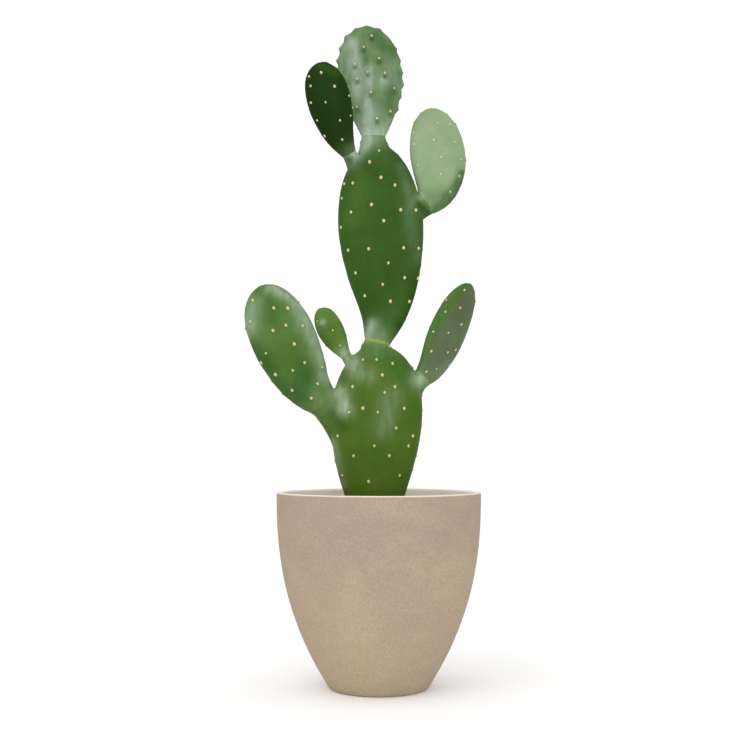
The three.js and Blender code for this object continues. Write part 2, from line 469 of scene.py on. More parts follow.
@dataclass(frozen=True)
class SkinFinish:
    """The waxy green skin of a pad."""

    # painted shade: the dark green laid in hollows and at the joints
    PAINTED_SHADE_GREEN: ClassVar[Colour] = tone(30, 54, 14)
    SEAM: ClassVar[Colour] = tone(150, 165, 80)
    CORK: ClassVar[Colour] = tone(150, 120, 60)

    name: str
    body: Colour
    deep: Colour
    fresh: Colour
    # pale wax, also laid as painted sheen
    bloom: Colour
    older: Colour  # what it fades to at its neck
    wax: float = 0.1  # how much of the bloom lies all over

    def material(self) -> Material:
        """Builds the skin: mottled green, patches of wax with painted sheen, painted shade in the hollows
        and at the joints, and fine pores.

        Returns:
            The material.
        """
        graph = Graph(self.name)
        broad = graph.ramp(graph.noise(70 * MM), 0.38, 0.62)
        small = graph.ramp(graph.noise(14 * MM, 4), 0.35, 0.65)
        streaks = graph.ramp(graph.noise(9 * MM, 5, (1, 1, 3)), 0.3, 0.7, 0.45, 1)
        # The wax patches are partly painted sheen on faces and edges turned up to the light.
        wax_and_sheen = graph.sum("ADD", graph.attribute("bloom"), graph.ramp(broad, 0, 1, self.wax, 0.4 * self.wax))
        wax_and_sheen = graph.sum("MULTIPLY", wax_and_sheen, streaks)
        pores = graph.ramp(graph.cells(1.3 * MM), 0.08, 0.2, 0.16, 0)
        colour = graph.mix(graph.times(broad, 0.6), self.body, self.deep)
        for cover, tint in (
            (graph.times(small, 0.3), self.deep),
            (graph.attribute("older"), self.older),
            (graph.times(graph.attribute("fresh"), 0.85), self.fresh),
            (wax_and_sheen, self.bloom),
            (graph.times(graph.attribute("shade"), 0.85), self.PAINTED_SHADE_GREEN),
            (graph.times(graph.attribute("halo"), 0.3), self.deep),
            (graph.attribute("seam"), self.SEAM),
            (pores, self.bloom),
            (graph.attribute("scar"), self.CORK),
        ):
            colour = graph.mix(cover, colour, tint)
        graph.coat(colour, graph.ramp(wax_and_sheen, 0, 0.8, 0.4, 0.6), 0.06)
        graph.bump(graph.noise(1.6 * MM, 3), 0.12 * MM, 0.5)
        return graph.material


@dataclass(frozen=True)
class AreoleFinish:
    """The short wool and glochids of an areole, brown at its foot and cream on top."""

    name: str
    crown: Colour
    foot: Colour

    def material(self) -> Material:
        """Builds the wool from the share of its height that the mesh stores.

        Returns:
            The material.
        """
        graph = Graph(self.name)
        fleck = graph.ramp(graph.noise(0.9 * MM, 3), 0.35, 0.65, 0, 0.35)
        rise = graph.sum("SUBTRACT", graph.ramp(graph.attribute("crown"), 0.1, 0.6), fleck)
        colour = graph.mix(rise, self.foot, self.crown)
        graph.coat(colour, 0.85)
        graph.bump(graph.noise(0.5 * MM, 2), 0.2 * MM, 0.6)
        return graph.material


@dataclass(frozen=True)
class StoneFinish:
    """The planter's cast stone: sandy, blotched, with pale and dark grains."""

    name: str
    low: Colour
    high: Colour
    blotch: Colour
    pale: Colour
    dark: Colour
    # painted highlight on the lip, and painted light on the shaded inner wall
    rim: Colour
    height: float

    def material(self) -> Material:
        """Builds the stone, which turns greyer towards the rim, with a painted highlight on its lip and
        painted light on its inner wall.

        Returns:
            The material.
        """
        graph = Graph(self.name)
        patches = graph.noise(110 * MM, 4)
        level = graph.ramp(graph.height(), 0, self.height)
        level = graph.sum("ADD", graph.times(level, 0.7), graph.ramp(patches, 0.35, 0.65, 0, 0.45))
        colour = graph.mix(level, self.low, self.high)
        blotches = graph.ramp(graph.noise(45 * MM, 5, (1, 1, 0.5)), 0.45, 0.7, 0, 0.3)
        colour = graph.mix(blotches, colour, self.blotch)
        sand = graph.ramp(graph.noise(1.8 * MM, 4), 0.3, 0.7, 0, 0.5)
        colour = graph.mix(sand, colour, self.dark)
        flecks = graph.ramp(graph.cells(3.1 * MM), 0.12, 0.26, 0.4, 0)
        colour = graph.mix(flecks, colour, self.pale)
        pits = graph.ramp(graph.cells(4.3 * MM), 0.08, 0.17, 0.55, 0)
        colour = graph.mix(pits, colour, self.dark)
        # Painted highlight along the lip, and painted light over the inner wall, which lies in shade.
        lip = graph.ramp(graph.height(), self.height - 2.2 * MM, self.height - 0.6 * MM, 0, 0.75)
        lip = graph.sum("MAXIMUM", lip, graph.times(graph.attribute("inside"), 0.95))
        colour = graph.mix(lip, colour, self.rim)
        graph.coat(colour, graph.ramp(sand, 0, 0.5, 0.92, 0.78), 0.25)
        relief = graph.sum("SUBTRACT", graph.noise(2.4 * MM, 5), pits)
        graph.bump(relief, 0.35 * MM, 0.6)
        return graph.material


@dataclass(frozen=True)
class EarthFinish:
    """Potting mix, roots, bark, grit and perlite: two tones with a coarse or fine grain."""

    name: str
    first: Colour
    second: Colour
    grain: float
    roughness: float = 0.95
    stretch: Colour = (1, 1, 1)

    def material(self) -> Material:
        """Builds the two tones, mixed by one grain and darkened by a finer one.

        Returns:
            The material.
        """
        graph = Graph(self.name)
        coarse = graph.ramp(graph.noise(self.grain, 5, self.stretch), 0.35, 0.65)
        fine = graph.ramp(graph.noise(self.grain / 5, 3, self.stretch), 0.4, 0.7, 0, 0.5)
        colour = graph.mix(coarse, self.first, self.second)
        dark = tuple(0.4 * share for share in self.first)
        graph.coat(graph.mix(fine, colour, dark), self.roughness)
        graph.bump(graph.noise(self.grain / 2, 5, self.stretch), 0.15 * self.grain, 0.8)
        return graph.material


# The plant


class Touch(Enum):
    """What a patch does to the skin under it."""

    BLOOM = "bloom"  # pale wax, with painted sheen where faces and edges turn up to the light
    FRESH = "fresh"  # vivid young green
    SHADE = "shade"  # painted shade: dark green where shade falls, in the hollows and at the joints
    SCAR = "scar"  # dry brown cork
    OLDER = "older"  # the green of the pad that it grows from


@dataclass(frozen=True)
class Patch:
    """A soft patch or band on the side of a pad that faces the viewer.

    It runs from one place to another, each given as shares of the width and height of
    the CAD node's box, and it is round where there is no second place.
    """

    touch: Touch
    start: tuple[float, float]
    radius: float
    strength: float
    end: tuple[float, float] | None = None
    depth_share: float = 0.3  # how much depth counts, so that it reaches round the edge

    def cover(self, pad: "Pad", points: np.ndarray) -> np.ndarray:
        """Works out how strongly the patch covers each point.

        Args:
            pad: the pad that it lies on.
            points: the places to weigh, one row each.

        Returns:
            A number from 0 to the patch's strength for each point.
        """
        first = np.array(pad.on_side(*self.start))
        last = np.array(pad.on_side(*(self.end or self.start)))
        run = last - first
        share = np.clip((points - first) @ run / max(run @ run, 1e-9), 0, 1)
        gaps = points - first - share[:, None] * run
        gaps[:, 1] *= self.depth_share
        return self.strength * np.exp(-np.einsum("ij,ij->i", gaps, gaps) / self.radius**2)


@dataclass(frozen=True)
class Spot:
    """Where an areole sits on the skin."""

    place: Vector
    outward: Vector
    along: Vector
    scale: float
    rise: float  # how high its mound stands, as a share of the pad's usual


@dataclass(frozen=True)
class Joint:
    """Where the skin is cut between a pad and its parent."""

    middle: Vector
    way: Vector  # the way that the pad grows from it
    reach: float  # holds the whole ring of the cut, and nothing else
    bloom: float  # how much pale wax, with painted sheen, lies round it
    seam: float  # how clearly its line shows

    def line(self, points: np.ndarray, width: float) -> np.ndarray:
        """Returns how near the cut each point is: 1 on it, and about a third at the width."""
        offset = (points - np.array(self.middle)) @ np.array(self.way)
        return np.exp(-((offset / width) ** 2))


Rows = tuple[tuple[float, ...], ...]


def patches(**touches: Rows) -> tuple[Patch, ...]:
    """Reads a pad's patches, which are listed under what they do.

    Args:
        touches: the rows under the value of each `Touch`. A row is the patch's place
            across and up, its radius in millimetres, its strength and, for a band, the
            place that it runs to.

    Returns:
        The patches.
    """
    return tuple(
        Patch(Touch(touch), row[:2], row[2] * MM, row[3], row[4:] or None)
        for touch, rows in touches.items()
        for row in rows
    )


@dataclass
class Pad:
    """One pad: where its areoles grow and how it is dressed.

    `rows` are the areoles that face the viewer. Each row is its height and then the
    places along it, as shares of the height and width of the CAD node's box.
    """

    node: str
    slot: str
    finish: SkinFinish
    rows: Rows
    parent: str = ""
    patches: tuple[Patch, ...] = ()
    areole: float = 1.0  # the areoles' size
    mound: float = 0.45 * MM  # how far the skin rises under an areole
    hollow: float = 0.0  # how far it sinks just below one
    neck_bloom: float = 0.5  # how much pale wax, with painted sheen, lies round its neck
    seam: float = 0.06  # how clearly the line round its neck shows
    edge_spacing: float = 21 * MM
    edge_share: float = 0.6  # how many of the places along the edge have an areole
    spots: list[Spot] = field(default_factory=list)
    touching: float = 0.6 * MM  # how near its parent a vertex of its neck lies
    edge_sweep: int = 150  # how far round from the tip its edge is followed, in degrees
    edge_step: int = 2

    def middle(self) -> Vector:
        """Returns the mean of the CAD node's vertices."""
        return Vector(points_of(frame["nodes"][self.node]).mean(axis=0))

    def on_side(self, across: float, up: float, from_back: bool = False) -> Vector:
        """Finds a place on the pad, seen square from the front or the back.

        Args:
            across: the share of the node's width, from the left.
            up: the share of its height.
            from_back: whether to look from behind.

        Returns:
            The point on the CAD node that is met first, or the nearest one to that line.
        """
        node = frame["nodes"][self.node]
        low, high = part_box(self.node)
        x = low.x + across * (high.x - low.x)
        z = low.z + up * (high.z - low.z)
        way = -1 if from_back else 1
        start = Vector((x, (low.y + high.y) / 2 - way * 0.5, z))
        hit, place, _, _ = node.ray_cast(start, Vector((0, way, 0)))
        if hit:
            return place
        return node.closest_point_on_mesh(Vector((x, (low.y + high.y) / 2, z)))[1]

    def places(self) -> list[tuple[float, float]]:
        """Returns the shares across and up of every areole that faces the viewer."""
        return [(across, up) for up, *row in self.rows for across in row]

    def origin(self) -> Vector:
        """Returns the middle of the neck, or of the foot where there is no parent."""
        if self.parent:
            return self.neck()[0]
        low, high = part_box(self.node)
        return Vector((*low.lerp(high, 0.5).xy, low.z))

    def neck(self) -> tuple[Vector, Vector, float]:
        """Finds where this pad meets its parent.

        Returns:
            The neck's middle, the way that the pad grows from it, and its radius.
        """
        parent = frame["nodes"][self.parent]
        points = np.unique(points_of(frame["nodes"][self.node]).round(6), axis=0)
        gaps = [(parent.closest_point_on_mesh(point)[1] - Vector(point)).length for point in points]
        ring = points[np.array(gaps) < self.touching]
        middle = ring.mean(axis=0)
        normal = Vector(np.linalg.svd(ring - middle)[2][2])
        if normal.dot(self.middle() - Vector(middle)) < 0:
            normal.negate()
        return Vector(middle), normal, float(np.linalg.norm(ring - middle, axis=1).max())

    def edge_places(self, origin: Vector) -> list[Vector]:
        """Finds evenly spaced places round the pad's thin edge.

        Args:
            origin: the middle of the neck, or of the foot.

        Returns:
            The places, from one side of the neck round the tip to the other.
        """
        node = frame["nodes"][self.node]
        middle = self.middle()
        along = (middle - origin).normalized()
        points = points_of(node)
        spread = np.linalg.svd(points - points.mean(axis=0), full_matrices=False)[2]
        face = Vector(spread[2])
        across = face.cross(along).normalized()
        outline = []
        for degrees in range(-self.edge_sweep, self.edge_sweep + 1, self.edge_step):
            angle = math.radians(degrees)
            out = math.cos(angle) * along + math.sin(angle) * across
            hit, place, _, _ = node.ray_cast(middle + 0.4 * out, -out)
            if hit:
                outline.append(place)
        chosen = outline[:1]
        for place in outline:
            if (place - chosen[-1]).length >= self.edge_spacing:
                chosen.append(place)
        return chosen


@dataclass
class Areole:
    """An areole: a small oval cushion of wool with a tuft of glochids."""

    half_width: float = 2.4 * MM
    half_length: float = 2.9 * MM
    height: float = 1.5 * MM
    glochids: int = 7
    glochid_length: float = 1.7 * MM

    def build(self) -> Object:
        """Models one areole at the origin, lying on the XY plane with its length along Y.

        Returns:
            The areole, which stores the share of its height at each vertex.
        """
        bpy.ops.mesh.primitive_uv_sphere_add(segments=8, ring_count=6, radius=1)
        cushion = bpy.context.object
        with editing(cushion):
            low = (0, 0, -0.3)
            bpy.ops.mesh.bisect(plane_co=low, plane_no=(0, 0, 1), clear_inner=True, clear_outer=False)
            bpy.ops.mesh.select_all(action="SELECT")
            size = (self.half_width, self.half_length, self.height)
            bpy.ops.transform.resize(value=size, center_override=(0, 0, 0))
        pieces = [cushion, *(self.glochid(index) for index in range(self.glochids))]
        areole = joined(pieces, "areole_pattern")
        heights = points_of(areole)[:, 2] / self.height
        paint_points(areole, "crown", heights)
        return areole

    def glochid(self, index: int) -> Object:
        """Models one bristle, leaning outwards from the cushion's top.

        Args:
            index: which bristle of the tuft it is.

        Returns:
            The bristle.
        """
        turn = 2 * math.pi * index / self.glochids
        lean = 0.35 + 0.2 * (index % 3)
        reach = 0.4 * self.half_width
        bpy.ops.mesh.primitive_cone_add(
            vertices=3, radius1=0.16 * MM, depth=self.glochid_length, end_fill_type="NOTHING"
        )
        bristle = bpy.context.object
        place = Matrix.Translation((reach * math.cos(turn), reach * math.sin(turn), self.height))
        tilt = Matrix.Rotation(turn, 4, "Z") @ Matrix.Rotation(lean, 4, "Y")
        bristle.data.transform(place @ tilt)
        return bristle

    def grow(self, pattern: Object, spots: list[Spot], name: str) -> Object:
        """Copies the areole to every spot of a pad, as one piece.

        Args:
            pattern: the areole that `build` modelled.
            spots: where the copies go.
            name: the piece's name.

        Returns:
            The joined areoles.
        """
        copies = []
        for spot in spots:
            side = spot.along.cross(spot.outward).normalized()
            length = spot.outward.cross(side)
            turn = Matrix((side, length, spot.outward)).transposed().to_4x4()
            place = Matrix.Translation(spot.place) @ turn @ Matrix.Scale(spot.scale, 4)
            copies.append(placed_copy(pattern, name, place))
        tufts = joined(copies, name)
        smooth_by_angle(tufts, 60)
        return tufts


@dataclass
class Cactus:
    """The whole plant above and in the soil, from the frame's pads."""

    pads: tuple[Pad, ...]
    areole: Areole
    wool: AreoleFinish
    voxel: float = 1.6 * MM
    plump: float = 0.5 * MM  # makes up for what smoothing takes off, and laps the joints
    groove: float = 0.5 * MM  # depth of the line where two pads join
    groove_width: float = 1.8 * MM
    back_shift: float = 0.06  # moves the back's areoles across from the front's
    back_limit: float = 0.93  # how far across one of them may lie
    least_gap: float = 13 * MM  # between two areoles
    scales: tuple[float, float] = (0.8, 1.15)  # the range of the areoles' sizes
    rises: tuple[float, float] = (0.35, 1.2)  # the range of their mounds' heights
    sink: float = 0.3 * MM  # how deep an areole sits in its mound
    mound_radius: float = 5.5 * MM
    hollow_radius: float = 3.5 * MM
    hollow_drop: float = 6 * MM  # how far below an areole its hollow lies
    shade_radius: float = 3.6 * MM  # of the painted shade in a hollow
    halo_radius: float = 5 * MM  # of the darker green round an areole
    cut_steps: int = 16  # how many places for a cut are tried, a millimetre apart
    cut_margin: float = 8 * MM  # the most that a cut reaches beyond its ring, twice over

    def build(self) -> None:
        """Models the skin, cuts it into pads, grows the areoles and dresses it all."""
        rng = random.Random(11)
        skin = self.smooth_skin()
        self.place_areoles(skin, rng)
        self.raise_mounds(skin)
        joints = [self.joint(skin, pad) for pad in self.children()]
        self.paint(skin, joints)
        self.press_grooves(skin, joints)
        pieces = self.cut_apart(skin, joints)
        pattern = self.areole.build()
        for pad in self.pads:
            finish_piece(pieces[pad.node], pad.finish.material(), pad.node)
            tufts = self.areole.grow(pattern, pad.spots, f"{pad.node}_areoles")
            finish_piece(tufts, self.wool_material())
        bpy.data.objects.remove(pattern)

    def wool_material(self) -> Material:
        """Returns the areoles' material, which every pad shares."""
        return bpy.data.materials.get(self.wool.name) or self.wool.material()

    def children(self) -> list[Pad]:
        """Returns the pads that grow from another one."""
        return [pad for pad in self.pads if pad.parent]

    def rounded(self, pad: Pad) -> Object:
        """Makes a smooth, slightly plumper copy of a pad, with its neck kept square.

        Args:
            pad: the pad to copy.

        Returns:
            The copy.
        """
        piece = copy_of(pad.node, f"{pad.node}_form")
        flat, sharp = math.radians(50), math.radians(60)
        with editing(piece, "EDGE"):
            bpy.ops.mesh.tris_convert_to_quads(face_threshold=flat, shape_threshold=sharp)
            bpy.ops.mesh.select_all(action="DESELECT")
            bpy.ops.mesh.edges_select_sharp(sharpness=sharp)
            bpy.ops.transform.edge_crease(value=1)
        shape_with(piece, "SUBSURF", levels=2, render_levels=2)
        shape_with(piece, "DISPLACE", strength=self.plump, mid_level=0)
        return piece

    def smooth_skin(self) -> Object:
        """Models the plant's skin in one piece, with filleted joints and a gentle unevenness.

        Returns:
            The skin.
        """
        skin = joined([self.rounded(pad) for pad in self.pads], "plant_skin")
        shape_with(skin, "REMESH", mode="VOXEL", voxel_size=self.voxel, use_smooth_shade=True)
        joints = skin.vertex_groups.new(name="joints")
        points = points_of(skin)
        weight = np.zeros(len(points))
        for pad in self.children():
            middle, _, radius = pad.neck()
            weight = np.maximum(weight, soft_round(points, middle, 1.1 * radius + 8 * MM))
        for index in np.flatnonzero(weight > 0.05):
            joints.add([int(index)], float(weight[index]), "REPLACE")
        shape_with(skin, "SMOOTH", factor=0.5, iterations=40, vertex_group="joints")
        shape_with(skin, "SMOOTH", factor=0.5, iterations=10)
        swell(skin, "pad_swell", size=60 * MM, strength=1.6 * MM)
        swell(skin, "pad_ripple", size=17 * MM, strength=0.7 * MM)
        return skin

    def place_areoles(self, skin: Object, rng: random.Random) -> None:
        """Finds every pad's areoles: in rows to the front and back, and along the edge.

        Args:
            skin: the skin that they sit on.
            rng: the source of their small differences.
        """
        necks = [pad.neck() for pad in self.children()]
        for pad in self.pads:
            origin = pad.origin()
            along = (pad.middle() - origin).normalized()
            wanted = [pad.on_side(across, up) for across, up in pad.places()]
            wanted += [place for place in pad.edge_places(origin) if rng.random() < pad.edge_share]
            wanted += [
                pad.on_side(min(1 - across + self.back_shift, self.back_limit), up, from_back=True)
                for across, up in pad.places()
                if 0.1 < across < 0.9
            ]
            for place in wanted:
                clear = all((place - spot.place).length > self.least_gap for spot in pad.spots)
                clear_of_necks = all((place - middle).length > 0.85 * radius for middle, _, radius in necks)
                if clear and clear_of_necks:
                    _, seat, outward, _ = skin.closest_point_on_mesh(place)
                    scale = pad.areole * rng.uniform(*self.scales)
                    rise = rng.uniform(*self.rises)
                    pad.spots.append(Spot(seat.copy(), outward.copy(), along, scale, rise))

    def raise_mounds(self, skin: Object) -> None:
        """Raises the skin under each areole, sinks it below, and lifts the areoles with it.

        Args:
            skin: the plant's skin.
        """
        points = points_of(skin)
        lift = np.zeros(len(points))
        for pad in self.pads:
            for spot in pad.spots:
                near = gaps_to(points, spot.place) < 30 * MM
                mound = soft_round(points[near], spot.place, self.mound_radius)
                lift[near] += spot.rise * pad.mound * mound
                if pad.hollow:
                    below = spot.place - self.hollow_drop * spot.along
                    lift[near] -= pad.hollow * soft_round(points[near], below, self.hollow_radius)
        move_points(skin, points + lift[:, None] * normals_of(skin))
        for pad in self.pads:
            raised = []
            for spot in pad.spots:
                top = spot.place + spot.rise * pad.mound * spot.outward
                _, seat, outward, _ = skin.closest_point_on_mesh(top)
                raised.append(replace(spot, place=seat - self.sink * outward, outward=outward.copy()))
            pad.spots = raised

    def joint(self, skin: Object, pad: Pad) -> Joint:
        """Slides a cut out from a pad's neck until it makes a closed ring round the skin.

        Args:
            skin: the plant's skin.
            pad: the pad that is to be cut from its parent.

        Returns:
            The joint.
        """
        middle, way, radius = pad.neck()
        points = points_of(skin)
        ends = np.empty(len(skin.data.edges) * 2, dtype=np.int32)
        skin.data.edges.foreach_get("vertices", ends)
        ends = ends.reshape(-1, 2)
        limit = 2 * radius + 20 * MM
        for slide in range(self.cut_steps):
            centre = middle + slide * MM * way
            offset = (points - np.array(centre)) @ np.array(way)
            crossing = ends[offset[ends[:, 0]] * offset[ends[:, 1]] < 0]
            places = (points[crossing[:, 0]] + points[crossing[:, 1]]) / 2
            reach = np.sort(gaps_to(places, centre))
            reach = np.append(reach[reach < limit], limit)
            wide = np.flatnonzero((np.diff(reach) > 2 * self.voxel) & (reach[:-1] > 0.8 * radius))
            if len(wide):
                ring, beyond = reach[wide[0] : wide[0] + 2]
                ring += min(beyond - ring, self.cut_margin) / 2
                LOG.info("%s: cut %d mm out from its neck", pad.node, slide)
                return Joint(centre, way, ring, pad.neck_bloom, pad.seam)
        raise ValueError(f"no closed ring round the neck of {pad.node}")

    def paint(self, skin: Object, joints: list[Joint]) -> None:
        """Stores where the wax and painted sheen, the fresh green, the painted shade, the scars and the
        halos lie.

        Args:
            skin: the plant's skin.
            joints: where it will be cut.
        """
        points = points_of(skin)
        layers = {touch: np.zeros(len(points)) for touch in Touch}
        seam = np.zeros(len(points))
        for joint in joints:
            layers[Touch.BLOOM] += joint.bloom * soft_round(points, joint.middle, joint.reach + 2 * MM)
            layers[Touch.OLDER] += soft_round(points, joint.middle, 0.9 * joint.reach)
            near = soft_round(points, joint.middle, 1.3 * joint.reach) > 0.35
            seam += joint.seam * near * joint.line(points, self.groove_width)
        halo = np.zeros(len(points))
        for pad in self.pads:
            for patch in pad.patches:
                layers[patch.touch] += patch.cover(pad, points)
            for spot in pad.spots:
                near = gaps_to(points, spot.place) < 20 * MM
                halo[near] += soft_round(points[near], spot.place, self.halo_radius)
                # Painted shade: the hollow below each areole is darkened.
                if pad.hollow:
                    below = spot.place - self.hollow_drop * spot.along
                    layers[Touch.SHADE][near] += soft_round(points[near], below, self.shade_radius)
        for touch, values in layers.items():
            paint_points(skin, touch.value, values)
        paint_points(skin, "halo", halo)
        paint_points(skin, "seam", seam)

    def press_grooves(self, skin: Object, joints: list[Joint]) -> None:
        """Presses a fine line round the skin where two pads join.

        Args:
            skin: the plant's skin.
            joints: where it will be cut.
        """
        points = points_of(skin)
        normals = normals_of(skin)
        for joint in joints:
            near = gaps_to(points, joint.middle) < joint.reach
            depth = self.groove * joint.line(points, self.groove_width) * near
            points -= depth[:, None] * normals
        move_points(skin, points)

    def cut_apart(self, skin: Object, joints: list[Joint]) -> dict[str, Object]:
        """Cuts the skin at every joint into one closed piece for each pad.

        Args:
            skin: the plant's skin, which is used up.
            joints: where it is cut.

        Returns:
            The pieces by the name of their CAD node.
        """
        for joint in joints:
            centres = rows_of(skin.data.polygons, "center")
            mark_faces(skin, gaps_to(centres, joint.middle) < joint.reach)
            with editing(skin, "FACE", "KEEP"):
                bpy.ops.mesh.bisect(plane_co=joint.middle, plane_no=joint.way)
                bpy.ops.mesh.edge_split(type="EDGE")
        with editing(skin):
            bpy.ops.mesh.separate(type="LOOSE")
        parts = list(bpy.context.selected_objects)
        LOG.info("the skin came apart into %d pieces", len(parts))
        pieces = {}
        for pad in self.pads:
            middle = np.array(pad.middle())
            part = min(parts, key=lambda piece: np.linalg.norm(points_of(piece).mean(axis=0) - middle))
            parts.remove(part)
            with editing(part, "EDGE", "DESELECT"):
                bpy.ops.mesh.select_non_manifold(use_boundary=True)
                bpy.ops.mesh.fill_holes(sides=0)
            smooth_by_angle(part, 55)
            pieces[pad.node] = named(part, f"{pad.node}_skin")
        return pieces


# The planter and what fills it


@dataclass
class Planter:
    """The round tapered planter, turned from the section of its CAD node."""

    finish: StoneFinish
    node: str = "planter"
    turns: int = 144
    unevenness: float = 0.5 * MM

    def build(self) -> None:
        """Cuts the CAD node's section, spins it, drills the drain holes and dresses it."""
        pot = copy_of(self.node, "planter_cast")
        middle = (0, 0, 0)
        merge = 0.02 * MM
        with editing(pot):
            bpy.ops.mesh.bisect(plane_co=middle, plane_no=(0, 1, 0), clear_inner=True, clear_outer=True)
            bpy.ops.mesh.select_all(action="SELECT")
            bpy.ops.mesh.bisect(plane_co=middle, plane_no=(1, 0, 0), clear_inner=True, clear_outer=False)
            bpy.ops.mesh.select_all(action="SELECT")
            bpy.ops.mesh.remove_doubles(threshold=merge)
            bpy.ops.mesh.spin(steps=self.turns, angle=2 * math.pi, center=middle, axis=(0, 0, 1))
            bpy.ops.mesh.select_all(action="SELECT")
            bpy.ops.mesh.remove_doubles(threshold=merge)
            bpy.ops.mesh.normals_make_consistent(inside=False)
        shape_with(pot, "SUBSURF", levels=1, render_levels=1)
        swell(pot, "cast_unevenness", 45 * MM, self.unevenness, 3)
        self.drill(pot)
        smooth_by_angle(pot, 40)
        self.mark_inside(pot)
        finish_piece(pot, self.finish.material(), self.node)

    def mark_inside(self, pot: Object) -> None:
        """Stores which vertices lie on the inner wall, where the stone's material lays painted light over
        the shade.

        Args:
            pot: the spun planter.
        """
        points = points_of(pot)
        outwards = (points[:, :2] * normals_of(pot)[:, :2]).sum(axis=1)
        paint_points(pot, "inside", (outwards < -20 * MM).astype(float))

    def drill(self, pot: Object) -> None:
        """Cuts the drain holes where the CAD node has them.

        Args:
            pot: the spun planter.
        """
        for x, y, radius in self.drain_holes():
            place = (x, y, 0)
            bpy.ops.mesh.primitive_cylinder_add(vertices=32, radius=radius, depth=60 * MM, location=place)
            cutter = bpy.context.object
            shape_with(pot, "BOOLEAN", object=cutter, operation="DIFFERENCE", solver="EXACT")
            bpy.data.objects.remove(cutter)

    def drain_holes(self) -> list[tuple[float, float, float]]:
        """Finds the drain holes as rings of vertices on the CAD node's underside.

        Returns:
            The middle and radius of each hole.
        """
        points = points_of(frame["nodes"][self.node])
        under = np.unique(points[points[:, 2] < 0.1 * MM].round(6), axis=0)
        reach = np.hypot(under[:, 0], under[:, 1])
        ring = under[(reach > 5 * MM) & (reach < 0.8 * reach.max())]
        holes = []
        for quarter in range(4):
            signs = (1 if quarter in (0, 3) else -1, 1 if quarter < 2 else -1)
            own = ring[(ring[:, 0] * signs[0] > 0) & (ring[:, 1] * signs[1] > 0)]
            middle = (own.max(axis=0) + own.min(axis=0)) / 2
            radius = (own[:, 0].max() - own[:, 0].min()) / 2
            holes.append((float(middle[0]), float(middle[1]), float(radius)))
        return holes


class Bit(Enum):
    """What is scattered on the potting mix."""

    BARK = "bark"
    GRIT = "grit"
    PERLITE = "perlite"


@dataclass(frozen=True)
class BitSort:
    """One sort of scattered bit: its size in each direction, number and finish."""

    kind: Bit
    size: tuple[float, float, float]
    number: int
    finish: EarthFinish


@dataclass
class PottingMix:
    """The potting mix: a lumpy surface, and bits of bark, grit and perlite on it."""

    finish: EarthFinish
    sorts: tuple[BitSort, ...]
    node: str = "potting_soil"
    voxel: float = 3 * MM
    relief: float = 4 * MM
    skin_depth: float = 8 * MM  # how far below its top the relief reaches
    margin: float = 6 * MM  # kept clear of bits along its edge
    bit_depth: float = 14 * MM  # how far below its top a bit may lie

    def build(self) -> None:
        """Models the surface, scatters the bits on it and dresses them."""
        soil = self.surface()
        rng = random.Random(5)
        for sort in self.sorts:
            self.scatter(soil, sort, rng)
        finish_piece(soil, self.finish.material(), self.node)

    def surface(self) -> Object:
        """Models the body of mix with clods on its top.

        Returns:
            The mix.
        """
        soil = copy_of(self.node, "potting_mix_body")
        shape_with(soil, "REMESH", mode="VOXEL", voxel_size=self.voxel, use_smooth_shade=True)
        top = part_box(self.node)[1].z
        group = soil.vertex_groups.new(name="top")
        for vertex in soil.data.vertices:
            if vertex.co.z > top - self.skin_depth:
                group.add([vertex.index], 1, "REPLACE")
        shared = {"vertex_group": "top", "direction": "Z", "mid_level": 0.6}
        swell(soil, "clods", 11 * MM, self.relief, 4, **shared)
        swell(soil, "crumbs", 4 * MM, 0.4 * self.relief, 2, **shared)
        return soil

    def scatter(self, soil: Object, sort: BitSort, rng: random.Random) -> None:
        """Strews one sort of bit over the surface, as one piece.

        Args:
            soil: the mix that they lie on.
            sort: the sort of bit.
            rng: the source of places and turns.
        """
        patterns = [self.bit(sort, rng) for _ in range(3)]
        low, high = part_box(self.node)
        reach = (high.x - low.x) / 2 - self.margin
        copies = []
        while len(copies) < sort.number:
            angle = rng.uniform(0, 2 * math.pi)
            distance = reach * math.sqrt(rng.random())
            start = Vector((distance * math.cos(angle), distance * math.sin(angle), high.z + 50 * MM))
            hit, place, _, _ = soil.ray_cast(start, Vector((0, 0, -1)))
            if not hit or place.z < high.z - self.bit_depth:
                continue
            spin = Matrix.Rotation(rng.uniform(0, 6.28), 4, "Z")
            turn = spin @ Matrix.Rotation(rng.uniform(-0.5, 0.5), 4, "X")
            size = Matrix.Scale(rng.uniform(0.6, 1.25), 4)
            copies.append(placed_copy(rng.choice(patterns), "bit", Matrix.Translation(place) @ turn @ size))
        bits = joined(copies, f"soil_{sort.kind.value}")
        smooth_by_angle(bits, 35)
        finish_piece(bits, sort.finish.material())
        for pattern in patterns:
            bpy.data.objects.remove(pattern)

    def bit(self, sort: BitSort, rng: random.Random) -> Object:
        """Models one bit at the origin: a chip of bark, or an angular or rounded grain.

        Args:
            sort: the sort of bit.
            rng: the source of its unevenness.

        Returns:
            The bit.
        """
        rounded = sort.kind is Bit.PERLITE
        if sort.kind is Bit.BARK:
            bpy.ops.mesh.primitive_cube_add(size=2)
            with editing(bpy.context.object, "EDGE"):
                bpy.ops.mesh.subdivide(number_cuts=1)
        else:
            bpy.ops.mesh.primitive_ico_sphere_add(subdivisions=2 if rounded else 1, radius=1)
        bit = bpy.context.object
        rough = 0.14 if rounded else 0.28
        for vertex in bit.data.vertices:
            vertex.co *= 1 + rng.uniform(-rough, rough)
        with editing(bit):
            bpy.ops.transform.resize(value=sort.size, center_override=(0, 0, 0))
        return bit


